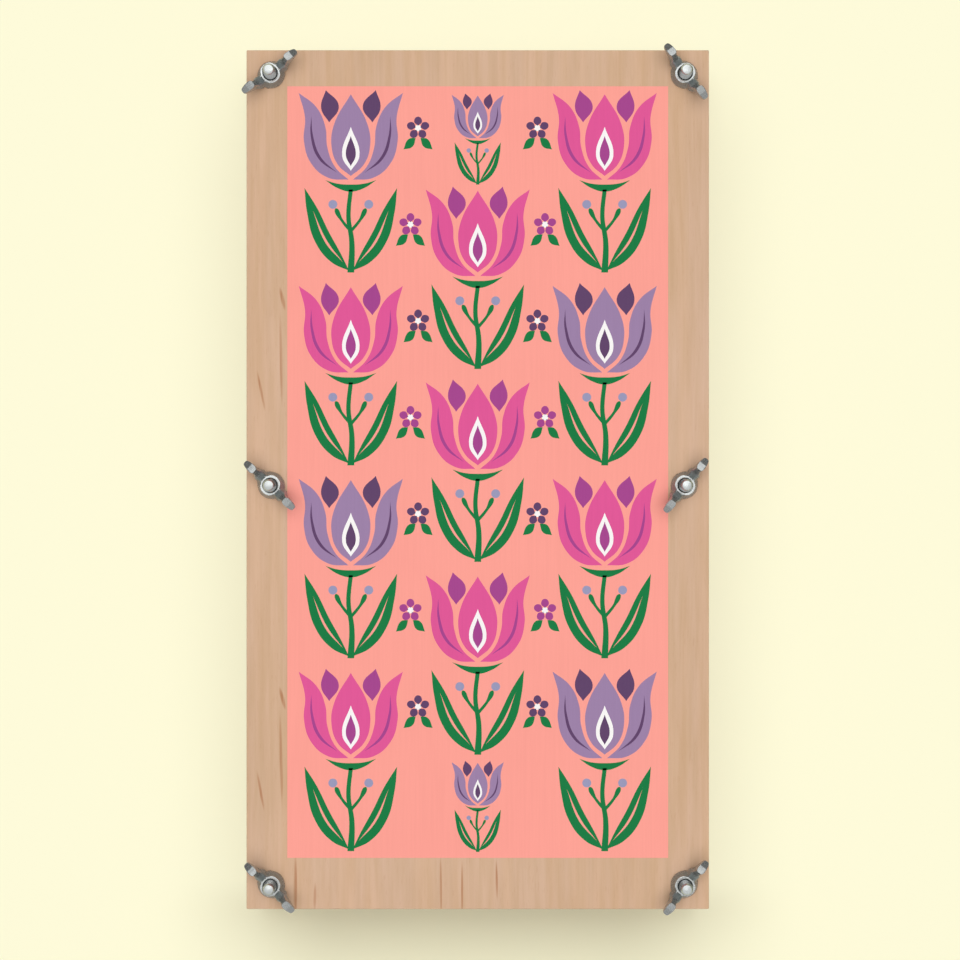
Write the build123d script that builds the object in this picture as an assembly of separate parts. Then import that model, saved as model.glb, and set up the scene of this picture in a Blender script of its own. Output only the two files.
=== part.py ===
from build123d import *
import math
import os

# A flower press: two wooden boards squeeze a stack of corrugated cardboard and blotting paper,
# and six carriage bolts with wing nuts draw the boards together.
# Millimetres. +Z is up and +Y runs along the boards, towards the top of the print.
# The origin is under the middle of the boards, level with the crowns of the bolt heads.

# Boards
BOARD_LENGTH = 330.2
BOARD_WIDTH = 177.8
BOTTOM_BOARD_THICKNESS = 12.0
TOP_BOARD_THICKNESS = 12.0
BOARD_CORNER_RADIUS = 0.4
BOARD_EDGE_ROUND = 0.3

# Carriage bolts: a domed head, a square neck that bites into the bottom board, and a long shank
BOLT_INSET = 9.525
MIDDLE_BOLT_DROP = 2.2
BOLT_DIAMETER = 5.0
BOLT_FREE_THREAD = 10.1
BOLT_TIP_CHAMFER = 0.6
HEAD_DIAMETER = 13.2
HEAD_HEIGHT = 3.1
HEAD_RIM_HEIGHT = 0.6
HEAD_CROWN_FLAT_DIAMETER = 4.0
NECK_OVERSIZE = 0.4
NECK_HEIGHT = 3.8
BOTTOM_HOLE_CLEARANCE = 0.2
TOP_HOLE_CLEARANCE = 1.0

# Wing nuts: a cone-shaped hub with two upswept wings
NUT_HUB_HEIGHT = 6.5
NUT_BORE_CLEARANCE = 0.5
NUT_RING_WALL = 1.05
NUT_FLARE = 1.8
NUT_BASE_RIM_HEIGHT = 0.7
WING_REACH = 13.5
WING_HEIGHT = 13.0
WING_ROOT_LIFT = 1.0
WING_ROOT_THICKNESS = 3.4
WING_NECK_THICKNESS = 1.8
WING_EAR_THICKNESS = 2.8
WING_EDGE_ROUND = 0.5

# Outline of a wing from the side: shares of the way from the axis to the tip, and of the height
WING_SIDE_SHARES = (
    (0.62, 0.21),
    (0.86, 0.50),
    (1.00, 0.77),
    (0.94, 0.96),
    (0.80, 0.99),
    (0.66, 0.83),
    (0.50, 0.62),
)
# Outline of a wing from above: its root as a share of the hub's radius at the top, and the rest as
# shares of the way from the axis to the tip
WING_ROOT_SHARE = 0.92
WING_NECK_SHARE = 0.56
WING_EAR_START_SHARE = 0.74
WING_EAR_END_SHARE = 0.90

# Turn of each wing nut at rest, in degrees from +X, as it was left after tightening
NUT_TURNS = {
    "top_left": 37.5,
    "top_right": 127.0,
    "middle_left": 136.3,
    "middle_right": 51.6,
    "bottom_left": 135.0,
    "bottom_right": 51.1,
}

# Printed panel: a film of ink on the face of the top board, clear of the nuts
PRINT_THICKNESS = 0.12
PRINT_TOP_MARGIN = 13.9
PRINT_BOTTOM_MARGIN = 19.7
PRINT_NUT_GAP = 0.575

# Stack of sheets: cardboard at the bottom and top, and two blotters in each space between cardboards
CARDBOARD_COUNT = 6
BLOTTER_SIDES = ("lower", "upper")
SHEET_BOLT_GAP = 3.875
SHEET_END_MARGIN = 16.1
SHEET_CLEARANCE = 0.025
SHEET_PLAY = 1.0
GOLDEN_ANGLE = 2.4
BLOTTER_THICKNESS = 0.6
BLOTTER_CORNER_RADIUS = 0.8

# Corrugated cardboard: two flat liners glued to the crests of a wavy middle sheet
CARDBOARD_THICKNESS = 3.0
LINER_THICKNESS = 0.3
MEDIUM_THICKNESS = 0.3
FLUTE_PITCH = 6.4
FLUTE_FLANK_RUN = 1.5
FLUTE_SHOULDER_SHARE = 0.6

# How far a cutting shape runs past the face that it cuts
CUT_OVERRUN = 1.0

# Heights and sizes that follow from the driving dimensions
blotter_count = (CARDBOARD_COUNT - 1) * len(BLOTTER_SIDES)
stack_height = CARDBOARD_COUNT * CARDBOARD_THICKNESS + blotter_count * BLOTTER_THICKNESS
stack_height += (CARDBOARD_COUNT + blotter_count) * SHEET_CLEARANCE
bottom_board_z = HEAD_HEIGHT
stack_z = bottom_board_z + BOTTOM_BOARD_THICKNESS
top_board_z = stack_z + stack_height
face_z = top_board_z + TOP_BOARD_THICKNESS
bolt_end_z = face_z + NUT_HUB_HEIGHT + BOLT_FREE_THREAD

bolt_x = BOARD_WIDTH / 2 - BOLT_INSET
bolt_y = BOARD_LENGTH / 2 - BOLT_INSET
bolt_places = {
    "top_left": (-bolt_x, bolt_y),
    "top_right": (bolt_x, bolt_y),
    "middle_left": (-bolt_x, -MIDDLE_BOLT_DROP),
    "middle_right": (bolt_x, -MIDDLE_BOLT_DROP),
    "bottom_left": (-bolt_x, -bolt_y),
    "bottom_right": (bolt_x, -bolt_y),
}
neck_width = BOLT_DIAMETER + NECK_OVERSIZE

nut_bore_radius = (BOLT_DIAMETER + NUT_BORE_CLEARANCE) / 2
nut_top_radius = nut_bore_radius + NUT_RING_WALL
nut_base_radius = nut_top_radius + NUT_FLARE

print_side_margin = BOLT_INSET + nut_base_radius + PRINT_NUT_GAP
print_width = BOARD_WIDTH - 2 * print_side_margin
print_length = BOARD_LENGTH - PRINT_TOP_MARGIN - PRINT_BOTTOM_MARGIN
print_centre_y = (PRINT_BOTTOM_MARGIN - PRINT_TOP_MARGIN) / 2

sheet_width = 2 * bolt_x - BOLT_DIAMETER - 2 * SHEET_BOLT_GAP
sheet_length = BOARD_LENGTH - 2 * SHEET_END_MARGIN

ON_FLOOR = (Align.CENTER, Align.CENTER, Align.MIN)


def board(thickness, hole_diameter):
    """A board on the ground plane, with eased edges and one hole for each bolt."""
    blank = Box(BOARD_WIDTH, BOARD_LENGTH, thickness, align=ON_FLOOR)
    blank = fillet(blank.edges().filter_by(Axis.Z), BOARD_CORNER_RADIUS)
    rims = blank.faces().filter_by(Axis.Z).edges()
    blank = fillet(rims, BOARD_EDGE_ROUND)
    drill = Cylinder(hole_diameter / 2, thickness + 2 * CUT_OVERRUN, align=ON_FLOOR)
    for x, y in bolt_places.values():
        blank -= Pos(x, y, -CUT_OVERRUN) * drill
    return blank


def bottom_board():
    """The lower board, with a square socket round each hole where a bolt's neck has bitten in."""
    plate = board(BOTTOM_BOARD_THICKNESS, BOLT_DIAMETER + BOTTOM_HOLE_CLEARANCE)
    socket = Box(neck_width, neck_width, NECK_HEIGHT + CUT_OVERRUN, align=ON_FLOOR)
    for x, y in bolt_places.values():
        plate -= Pos(x, y, -CUT_OVERRUN) * socket
    return Pos(0, 0, bottom_board_z) * plate


def top_board():
    """The upper board, which slides on the bolts."""
    return Pos(0, 0, top_board_z) * board(TOP_BOARD_THICKNESS, BOLT_DIAMETER + TOP_HOLE_CLEARANCE)


def printed_panel():
    """The film of ink on the face of the top board."""
    film = Box(print_width, print_length, PRINT_THICKNESS, align=ON_FLOOR)
    return Pos(0, print_centre_y, face_z) * film


def carriage_bolt():
    """One bolt on the Z axis, with the crown of its head on the ground plane."""
    head_radius = HEAD_DIAMETER / 2
    crown_radius = HEAD_CROWN_FLAT_DIAMETER / 2
    dome_height = HEAD_HEIGHT - HEAD_RIM_HEIGHT
    dome_run = (head_radius**2 - crown_radius**2 - dome_height**2) / (2 * dome_height)
    sphere_z = dome_height + dome_run
    sphere_radius = math.hypot(crown_radius, sphere_z)
    rim_angle = math.asin(head_radius / sphere_radius)
    crown_angle = math.asin(crown_radius / sphere_radius)
    mid_angle = (rim_angle + crown_angle) / 2
    mid_point = (sphere_radius * math.sin(mid_angle), sphere_z - sphere_radius * math.cos(mid_angle))
    outline = [
        Line((0, 0), (crown_radius, 0)),
        ThreePointArc((crown_radius, 0), mid_point, (head_radius, dome_height)),
        Polyline((head_radius, dome_height), (head_radius, HEAD_HEIGHT), (0, HEAD_HEIGHT), (0, 0)),
    ]
    head = revolve(Plane.XZ * make_face(outline), Axis.Z)
    neck = Pos(0, 0, HEAD_HEIGHT) * Box(neck_width, neck_width, NECK_HEIGHT, align=ON_FLOOR)
    shank = Cylinder(BOLT_DIAMETER / 2, bolt_end_z - HEAD_HEIGHT, align=ON_FLOOR)
    tip = shank.faces().sort_by(Axis.Z)[-1].edges()
    shank = Pos(0, 0, HEAD_HEIGHT) * chamfer(tip, BOLT_TIP_CHAMFER)
    return head + neck + shank


def wing_from_side():
    """The flat outline of one wing in the XZ plane, from the nut's axis to the tip."""
    root_low = (nut_top_radius, WING_ROOT_LIFT)
    root_high = (nut_top_radius, NUT_HUB_HEIGHT)
    ear = [(across * WING_REACH, up * WING_HEIGHT) for across, up in WING_SIDE_SHARES]
    outline = [
        Polyline(root_high, (0, NUT_HUB_HEIGHT), (0, WING_ROOT_LIFT), root_low),
        Spline(root_low, *ear, root_high),
    ]
    return Plane.XZ * make_face(outline)


def wing_from_above():
    """The flat outline of one wing in the XY plane: a thick root, a thin neck and a thick ear."""
    half_root = WING_ROOT_THICKNESS / 2
    half_neck = WING_NECK_THICKNESS / 2
    half_ear = WING_EAR_THICKNESS / 2
    side = [
        (WING_ROOT_SHARE * nut_top_radius, half_root),
        (WING_NECK_SHARE * WING_REACH, half_neck),
        (WING_EAR_START_SHARE * WING_REACH, half_ear),
        (WING_EAR_END_SHARE * WING_REACH, half_ear),
    ]
    tip = (WING_REACH, 0)
    other_side = [(x, -y) for x, y in reversed(side)]
    outline = [
        Spline(*side, tip, *other_side),
        Polyline(other_side[-1], (0, -half_root), (0, half_root), side[0]),
    ]
    return make_face(outline)


def wing_nut():
    """One wing nut on the Z axis, standing on the ground plane, with its wings along X."""
    hub_outline = Polyline(
        (0, 0),
        (nut_base_radius, 0),
        (nut_base_radius, NUT_BASE_RIM_HEIGHT),
        (nut_top_radius, NUT_HUB_HEIGHT),
        (0, NUT_HUB_HEIGHT),
        close=True,
    )
    hub = revolve(Plane.XZ * make_face(hub_outline), Axis.Z)
    # extruded one way, so that no seam runs along the wing's crest
    slab = Pos(0, WING_ROOT_THICKNESS, 0) * extrude(wing_from_side(), 2 * WING_ROOT_THICKNESS)
    wing = slab & extrude(wing_from_above(), WING_HEIGHT + CUT_OVERRUN)
    rims = wing.edges().filter_by(lambda edge: edge.center().X > nut_base_radius)
    wing = fillet(rims, WING_EDGE_ROUND)
    nut = hub + wing + Rot(0, 0, 180) * wing
    bore = Cylinder(nut_bore_radius, NUT_HUB_HEIGHT + 2 * CUT_OVERRUN, align=ON_FLOOR)
    return nut - Pos(0, 0, -CUT_OVERRUN) * bore


def blotter():
    """A sheet of blotting paper on the ground plane."""
    sheet = Box(sheet_width, sheet_length, BLOTTER_THICKNESS, align=ON_FLOOR)
    return fillet(sheet.edges().filter_by(Axis.Z), BLOTTER_CORNER_RADIUS)


def flute_tunnel(pitch):
    """The hollow under one crest of the wavy middle sheet, as a flat face with its base on y = 0."""
    height = CARDBOARD_THICKNESS - 2 * LINER_THICKNESS - MEDIUM_THICKNESS
    wall = MEDIUM_THICKNESS * math.hypot(height, FLUTE_FLANK_RUN) / height
    mean_width = pitch / 2 + FLUTE_FLANK_RUN * MEDIUM_THICKNESS / height - wall
    half_base = (mean_width + FLUTE_FLANK_RUN) / 2
    half_shoulder = half_base - FLUTE_SHOULDER_SHARE * FLUTE_FLANK_RUN
    shoulder_height = FLUTE_SHOULDER_SHARE * height
    outline = [
        Polyline(
            (-half_shoulder, shoulder_height),
            (-half_base, 0),
            (half_base, 0),
            (half_shoulder, shoulder_height),
        ),
        ThreePointArc((half_shoulder, shoulder_height), (0, height), (-half_shoulder, shoulder_height)),
    ]
    return make_face(outline)


def cardboard():
    """A sheet of corrugated cardboard on the ground plane, with its flutes along X."""
    flute_count = round(sheet_length / FLUTE_PITCH)
    pitch = sheet_length / flute_count
    blank = Pos(0, CARDBOARD_THICKNESS / 2) * Rectangle(sheet_length, CARDBOARD_THICKNESS)
    tunnel = flute_tunnel(pitch)
    tunnels = []
    for step in range(2 * flute_count + 1):
        along = step * pitch / 2 - sheet_length / 2
        if step % 2:
            tunnels.append(Pos(along, CARDBOARD_THICKNESS - LINER_THICKNESS) * Rot(0, 0, 180) * tunnel)
        else:
            tunnels.append(Pos(along, LINER_THICKNESS) * tunnel)
    # the first and last tunnels are cut open at the ends of the sheet, and the rest are closed loops
    loops = [hollow.face().outer_wire() for hollow in tunnels[1:-1]]
    section = Sketch() + Face(blank.face().outer_wire(), loops)
    section -= [tunnels[0], tunnels[-1]]
    return extrude(Plane.YZ.offset(-sheet_width / 2) * section, sheet_width)


def stack_sheets():
    """Every sheet of the stack in its place, from the bottom board upwards, by name."""
    kinds = {}
    for level in range(1, CARDBOARD_COUNT + 1):
        kinds[f"cardboard_{level}"] = "cardboard"
        if level < CARDBOARD_COUNT:
            for side in BLOTTER_SIDES:
                kinds[f"blotter_{level}_{side}"] = "blotter"
    shapes = {"cardboard": cardboard(), "blotter": blotter()}
    thicknesses = {"cardboard": CARDBOARD_THICKNESS, "blotter": BLOTTER_THICKNESS}
    sheets = {}
    z = stack_z
    for index, (name, kind) in enumerate(kinds.items()):
        # each sheet lies a little off the middle, as laid by hand
        x = SHEET_PLAY * math.cos(index * GOLDEN_ANGLE)
        y = SHEET_PLAY * math.sin(index * GOLDEN_ANGLE)
        sheets[name] = Pos(x, y, z) * shapes[kind]
        z += thicknesses[kind] + SHEET_CLEARANCE
    return sheets


def press():
    """Every piece of the press in its place, by name."""
    pieces = {
        "bottom_board": bottom_board(),
        "top_board": top_board(),
        "printed_panel": printed_panel(),
    }
    bolt = carriage_bolt()
    nut = wing_nut()
    for corner, (x, y) in bolt_places.items():
        pieces[f"carriage_bolt_{corner}"] = Pos(x, y, 0) * bolt
        pieces[f"wing_nut_{corner}"] = Pos(x, y, face_z) * Rot(0, 0, NUT_TURNS[corner]) * nut
    pieces.update(stack_sheets())
    return pieces


os.makedirs("parts", exist_ok=True)
for name, piece in press().items():
    export_step(piece, f"parts/{name}.step")
    print(f"{name}: {piece.volume:.1f} mm3")
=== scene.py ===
# %% [markdown]
# # Dressing a flower press
# The press comes ready built from CAD: two boards, a stack of sheets, bolts and wing nuts, all at their
# real size and in their real place. Here each piece gets its look. Shapes that are already right, such as
# the boards, keep their mesh and only get a finish. The hardware and the print are modelled anew.

# %% Load the press
import math

import bmesh
import bpy
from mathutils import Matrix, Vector


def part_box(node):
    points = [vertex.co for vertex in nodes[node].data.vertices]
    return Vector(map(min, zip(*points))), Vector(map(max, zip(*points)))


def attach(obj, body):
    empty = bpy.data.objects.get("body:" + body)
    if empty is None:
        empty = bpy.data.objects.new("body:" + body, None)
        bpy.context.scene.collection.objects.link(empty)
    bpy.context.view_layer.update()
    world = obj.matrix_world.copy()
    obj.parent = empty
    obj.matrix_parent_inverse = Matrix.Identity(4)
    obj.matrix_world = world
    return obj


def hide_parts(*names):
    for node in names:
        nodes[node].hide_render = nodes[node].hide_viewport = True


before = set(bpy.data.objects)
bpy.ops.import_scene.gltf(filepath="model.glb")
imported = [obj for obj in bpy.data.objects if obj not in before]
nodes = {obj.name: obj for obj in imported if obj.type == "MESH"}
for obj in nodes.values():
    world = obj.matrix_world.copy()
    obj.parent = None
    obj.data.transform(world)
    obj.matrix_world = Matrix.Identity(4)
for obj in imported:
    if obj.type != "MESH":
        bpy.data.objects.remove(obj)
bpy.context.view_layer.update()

MM = 0.001
BOLT_PLACES = ("top_left", "top_right", "middle_left", "middle_right", "bottom_left", "bottom_right")
face_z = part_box("top_board")[1].z

# %% [markdown]
# ## The camera
# The press was photographed from straight above, from far away. A camera that isn't turned at all looks
# straight down, with +Y at the top of the picture. A long lens at a distance keeps the sides of the boards
# out of sight, which an orthographic camera would do too, but then the bolt ends wouldn't lean outwards.

# %% Place the camera
VIEW_DISTANCE = 1200 * MM
VIEW_WIDTH = 369.1 * MM
VIEW_CENTRE = (0.87 * MM, -0.15 * MM)
SENSOR_WIDTH = 36

bpy.ops.object.select_all(action="DESELECT")
bpy.ops.object.camera_add(location=(*VIEW_CENTRE, face_z + VIEW_DISTANCE), rotation=(0, 0, 0))
camera = bpy.context.object
camera.name = "overhead_camera"
camera.data.sensor_width = SENSOR_WIDTH
camera.data.lens = SENSOR_WIDTH * VIEW_DISTANCE / VIEW_WIDTH
bpy.context.scene.camera = camera
bpy.context.scene.view_settings.view_transform = "Standard"
print("lens in mm:", round(camera.data.lens, 1))

# %% [markdown]
# ## Small helpers
# Operators act on whatever is selected, so each modelling step starts by letting go of everything.
# Colours are picked on a screen, from 0 to 255, but shader sockets take linear light, so one helper
# converts them. Another adds a node, sets its values and links its inputs in one go, which keeps the
# node trees below readable.

# %% Helpers for selecting
def let_go():
    """Leaves edit mode and deselects everything."""
    if bpy.context.object and bpy.context.object.mode == "EDIT":
        bpy.ops.object.mode_set(mode="OBJECT")
    bpy.ops.object.select_all(action="DESELECT")


def edit_all():
    """Enters edit mode on the active object, with all its corners selected."""
    bpy.ops.object.mode_set(mode="EDIT")
    bpy.ops.mesh.select_mode(type="VERT")
    bpy.ops.mesh.select_all(action="SELECT")


let_go()
print("objects still selected:", len(bpy.context.selected_objects))

# %% Helpers for colours and nodes
def paint(red, green, blue):
    """A screen colour as the linear colour that shader sockets take."""
    shares = [value / 255 for value in (red, green, blue)]
    linear = [s / 12.92 if s <= 0.04045 else ((s + 0.055) / 1.055) ** 2.4 for s in shares]
    return (*linear, 1)


def add(tree, kind, inputs=None, **settings):
    """Adds a node, with its settings, and with each input set to a value or linked to a socket."""
    node = tree.nodes.new(kind)
    for setting, value in settings.items():
        setattr(node, setting, value)
    for socket, value in (inputs or {}).items():
        if isinstance(value, bpy.types.NodeSocket):
            tree.links.new(value, node.inputs[socket])
        else:
            node.inputs[socket].default_value = value
    return node


def calc(tree, operation, *values):
    """A Math node's result."""
    return add(tree, "ShaderNodeMath", dict(enumerate(values)), operation=operation).outputs[0]


def blend(tree, factor, first, second, mode="MIX"):
    """A colour between two colours."""
    inputs = {0: factor, 6: first, 7: second}
    return add(tree, "ShaderNodeMix", inputs, data_type="RGBA", blend_type=mode).outputs[2]


def spread(tree, value, low, high, new_low=0.0, new_high=1.0):
    """A value eased from one range to another, and held at the ends."""
    inputs = {"Value": value, "From Min": low, "From Max": high, "To Min": new_low, "To Max": new_high}
    return add(tree, "ShaderNodeMapRange", inputs, interpolation_type="SMOOTHSTEP").outputs[0]


def noise(tree, vector, stretch, detail, roughness=0.5):
    """Noise on a vector that is first stretched: the stretch is the number of features in a metre."""
    stretched = add(tree, "ShaderNodeVectorMath", {0: vector, 1: stretch}, operation="MULTIPLY").outputs[0]
    inputs = {"Vector": stretched, "Scale": 1.0, "Detail": detail, "Roughness": roughness}
    return add(tree, "ShaderNodeTexNoise", inputs).outputs[0]


def split(tree, vector):
    """The X, Y and Z of a vector."""
    return add(tree, "ShaderNodeSeparateXYZ", {0: vector}).outputs


def bump(tree, height, strength, depth):
    """The normal of a surface with a relief of some height, strength and depth."""
    inputs = {"Height": height, "Strength": strength, "Distance": depth}
    return add(tree, "ShaderNodeBump", inputs).outputs[0]


def new_material(name):
    """A new material, with its node tree and its shader."""
    material = bpy.data.materials.new(name)
    material.use_nodes = True
    tree = material.node_tree
    return material, tree, tree.nodes["Principled BSDF"]


print("white in linear light:", paint(255, 255, 255))

# %% [markdown]
# ## Floor and light
# The floor is a large pale sheet. The sky is bright overhead and dark near the horizon, because a plated
# surface is only as lively as what it mirrors. Four very wide suns work as softboxes. One hangs straight
# over the boards, so that the nuts drop hardly any shadow on them. One leans from the top of the picture
# and gives the floor the soft shadow in front of the press. The last two, one behind the press and one in
# front of it, are mirrored in the metal. Light linking, near the end, limits each lamp to what it is there
# for. Sky and lamps together light a level surface at a strength of about 1, so that each colour renders
# about as it is written. The floor glows where it is seen or mirrored, which keeps it pale without more
# light on the press. It glows less in front, where the shadow falls.

# %% Make the floor
FLOOR_SIZE = 20
FLOOR_COLOUR = paint(254, 251, 218)
FLOOR_ROUGHNESS = 0.9
FRONT_GLOW = 0.04
BACK_GLOW = 0.6
# the stretch along Y over which the front's glow turns into the rest's
GLOW_FROM = -175 * MM
GLOW_TO = -158 * MM

let_go()
bpy.ops.mesh.primitive_plane_add(size=FLOOR_SIZE)
floor = bpy.context.object
floor.name = "pale_floor"
floor_material, floor_tree, floor_shader = new_material("pale_floor")
floor_shader.inputs["Base Color"].default_value = FLOOR_COLOUR
floor_shader.inputs["Roughness"].default_value = FLOOR_ROUGHNESS
floor_shader.inputs["Specular IOR Level"].default_value = 0.0
path = add(floor_tree, "ShaderNodeLightPath").outputs
mirrored_ray = calc(floor_tree, "MAXIMUM", path["Is Glossy Ray"], path["Is Transmission Ray"])
seen = calc(floor_tree, "MAXIMUM", path["Is Camera Ray"], mirrored_ray)
floor_spot = add(floor_tree, "ShaderNodeTexCoord").outputs["Object"]
floor_y = split(floor_tree, floor_spot)["Y"]
glow_here = spread(floor_tree, floor_y, GLOW_FROM, GLOW_TO, FRONT_GLOW, BACK_GLOW)
glow_share = calc(floor_tree, "MULTIPLY", seen, glow_here)
glow = add(floor_tree, "ShaderNodeEmission", {"Color": FLOOR_COLOUR}).outputs[0]
lit_and_glowing = {0: glow_share, 1: floor_shader.outputs[0], 2: glow}
floor_mix = add(floor_tree, "ShaderNodeMixShader", lit_and_glowing).outputs[0]
floor_tree.links.new(floor_mix, floor_tree.nodes["Material Output"].inputs["Surface"])
floor.data.materials.append(floor_material)
print("floor size in m:", FLOOR_SIZE)

# %% Make the sky
SKY_LOW = 0.03
SKY_HIGH = 0.5
# heights between which the sky brightens, from 0 at the horizon to 1 overhead
BRIGHTER_FROM = 0.45
BRIGHTEST_FROM = 0.95
WHITE = (1, 1, 1, 1)

sky = bpy.context.scene.world or bpy.data.worlds.new("studio_sky")
bpy.context.scene.world = sky
sky.use_nodes = True
sky_tree = sky.node_tree
sky_shader = sky_tree.nodes["Background"]
direction = add(sky_tree, "ShaderNodeTexCoord").outputs["Generated"]
sky_height = split(sky_tree, direction)["Z"]
sky_strength = spread(sky_tree, sky_height, BRIGHTER_FROM, BRIGHTEST_FROM, SKY_LOW, SKY_HIGH)
sky_shader.inputs["Color"].default_value = WHITE
sky_tree.links.new(sky_strength, sky_shader.inputs["Strength"])
print("sky strength from", SKY_LOW, "to", SKY_HIGH)

# %% Hang the lamps
LAMP_LEVEL = 0.73
LAMP_HEIGHT = 2


def soft_lamp(name, level, tilt, width):
    """A wide sun, leaning from +Y by a tilt, that lights a level surface at a given strength."""
    let_go()
    leaning = (-math.radians(tilt), 0, 0)
    bpy.ops.object.light_add(type="SUN", location=(0, 0, LAMP_HEIGHT), rotation=leaning)
    lamp = bpy.context.object
    lamp.name = name
    lamp.data.energy = level * math.pi / math.cos(math.radians(tilt))
    lamp.data.angle = math.radians(width)
    return lamp


board_lamp = soft_lamp("board_lamp", level=LAMP_LEVEL, tilt=0, width=56)
shadow_lamp = soft_lamp("shadow_lamp", level=LAMP_LEVEL, tilt=20, width=70)
metal_back_lamp = soft_lamp("metal_back_lamp", level=0.32, tilt=26, width=56)
metal_front_lamp = soft_lamp("metal_front_lamp", level=0.29, tilt=-50, width=120)
print("lamps:", [light.name for light in bpy.data.lights])

# %% [markdown]
# ## Shared effects
# Some effects come back in many finishes. A node group is built once and placed in each material with its
# own values. The mottle group gives two scales of cloudy variation, which keeps any surface from looking
# like flat plastic. The grain group gives what all wood has: broad bands, soft ripples, fine fibres and
# tiny flecks, all drawn out along the grain.

# %% Build the mottle group
def new_group(name, inputs, outputs):
    """An empty node group with named sockets, and its two ends."""
    tree = bpy.data.node_groups.new(name, "ShaderNodeTree")
    for label, kind in inputs:
        tree.interface.new_socket(label, in_out="INPUT", socket_type=f"NodeSocket{kind}")
    for label, kind in outputs:
        tree.interface.new_socket(label, in_out="OUTPUT", socket_type=f"NodeSocket{kind}")
    return tree, add(tree, "NodeGroupInput").outputs, add(tree, "NodeGroupOutput").inputs


def group_node(tree, group, inputs):
    """Places a node group in a material, sets its inputs and gives its outputs."""
    return add(tree, "ShaderNodeGroup", inputs, node_tree=group).outputs


MOTTLE_LIMITS = (0.25, 0.75)
mottle, mottle_in, mottle_out = new_group(
    "mottle",
    [("Vector", "Vector"), ("Coarse", "Float"), ("Fine", "Float")],
    [("Clouds", "Float"), ("Specks", "Float")],
)
for label, size, detail in (("Clouds", "Coarse", 3.0), ("Specks", "Fine", 2.0)):
    cloud_inputs = {"Vector": mottle_in["Vector"], "Scale": mottle_in[size], "Detail": detail}
    cloud = add(mottle, "ShaderNodeTexNoise", cloud_inputs).outputs[0]
    mottle.links.new(spread(mottle, cloud, *MOTTLE_LIMITS), mottle_out[label])
print("mottle nodes:", len(mottle.nodes))

# %% Build the grain group
# features in a metre across and along the grain, detail, roughness, and the limits of each layer's mask
GRAIN_LAYERS = {
    "Bands": (150, 7, 1.5, 0.4, 0.3, 0.7),
    "Ripples": (330, 26, 2.0, 0.5, 0.3, 0.7),
    "Fibres": (1500, 28, 3.0, 0.6, 0.3, 0.7),
    "Flecks": (2600, 230, 1.0, 0.5, 0.62, 0.74),
}
WANDER_STRETCH = (9, 5, 9)
WANDER_WIDTH = 6 * MM
NOISE_MIDDLE = 0.5

grain, grain_in, grain_out = new_group(
    "grain", [("Vector", "Vector")], [(layer, "Float") for layer in GRAIN_LAYERS]
)
wander = noise(grain, grain_in["Vector"], WANDER_STRETCH, detail=1.0)
sideways = calc(grain, "MULTIPLY", calc(grain, "SUBTRACT", wander, NOISE_MIDDLE), WANDER_WIDTH)
shift = add(grain, "ShaderNodeCombineXYZ", {0: sideways, 2: sideways}).outputs[0]
wandering = add(grain, "ShaderNodeVectorMath", {0: grain_in["Vector"], 1: shift}).outputs[0]
for layer, (dense, drawn_out, detail, roughness, low, high) in GRAIN_LAYERS.items():
    field = noise(grain, wandering, (dense, drawn_out, dense), detail, roughness)
    grain.links.new(spread(grain, field, low, high), grain_out[layer])
print("groups:", [group.name for group in bpy.data.node_groups])

# %% [markdown]
# ## Wood
# Both boards are plywood with a pale, straight-grained face. The face ripples softly between a pale and a
# deeper tan, a little warmer or cooler in broad bands, and has a few brown mineral streaks. Its fibres are
# fine and hardly show. On the edges the plies show one by one: where a ply's grain runs along the edge it
# is pale and drawn out, where it meets the edge head on it is darker and dotted, and thin dark glue lines
# lie between. An image would be quicker, but it has a fixed size and a seam. Noise on the object's own
# coordinates runs through the board as real grain does.

# %% Build the streak group
streak, streak_in, streak_out = new_group(
    "mineral_streak",
    [("Vector", "Vector"), ("Across", "Float"), ("Along", "Float"), ("Half Length", "Float"),
     ("Half Width", "Float"), ("Lean", "Float")],
    [("Mask", "Float")],
)
streak_place = split(streak, streak_in["Vector"])
from_middle = calc(streak, "SUBTRACT", streak_place["Y"], streak_in["Along"])
lean_shift = calc(streak, "MULTIPLY", from_middle, streak_in["Lean"])
streak_line = calc(streak, "ADD", streak_in["Across"], lean_shift)
from_line = calc(streak, "SUBTRACT", streak_place["X"], streak_line)
length_share = calc(streak, "DIVIDE", from_middle, streak_in["Half Length"])
width_share = calc(streak, "DIVIDE", from_line, streak_in["Half Width"])
roundness = calc(streak, "MULTIPLY", length_share, length_share)
roundness = calc(streak, "ADD", roundness, calc(streak, "MULTIPLY", width_share, width_share))
streak.links.new(spread(streak, roundness, 1.0, 0.0), streak_out["Mask"])
print("streak nodes:", len(streak.nodes))

# %% Build the ply group
PLY_COUNT = 9
GLUE_SHARE = 0.07
GRAIN_DIRECTIONS = 2.0

plies, plies_in, plies_out = new_group(
    "plies",
    [("Height", "Float"), ("Ply", "Float")],
    [("Crossed", "Float"), ("Glue", "Float")],
)
ply_number = calc(plies, "DIVIDE", plies_in["Height"], plies_in["Ply"])
within_ply = calc(plies, "FRACT", ply_number)
from_joint = calc(plies, "MINIMUM", within_ply, calc(plies, "SUBTRACT", 1.0, within_ply))
whole_plies = calc(plies, "FLOOR", ply_number)
plies.links.new(calc(plies, "MODULO", whole_plies, GRAIN_DIRECTIONS), plies_out["Crossed"])
plies.links.new(spread(plies, from_joint, GLUE_SHARE, 0.0), plies_out["Glue"])
print("plies in a board:", PLY_COUNT)

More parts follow.
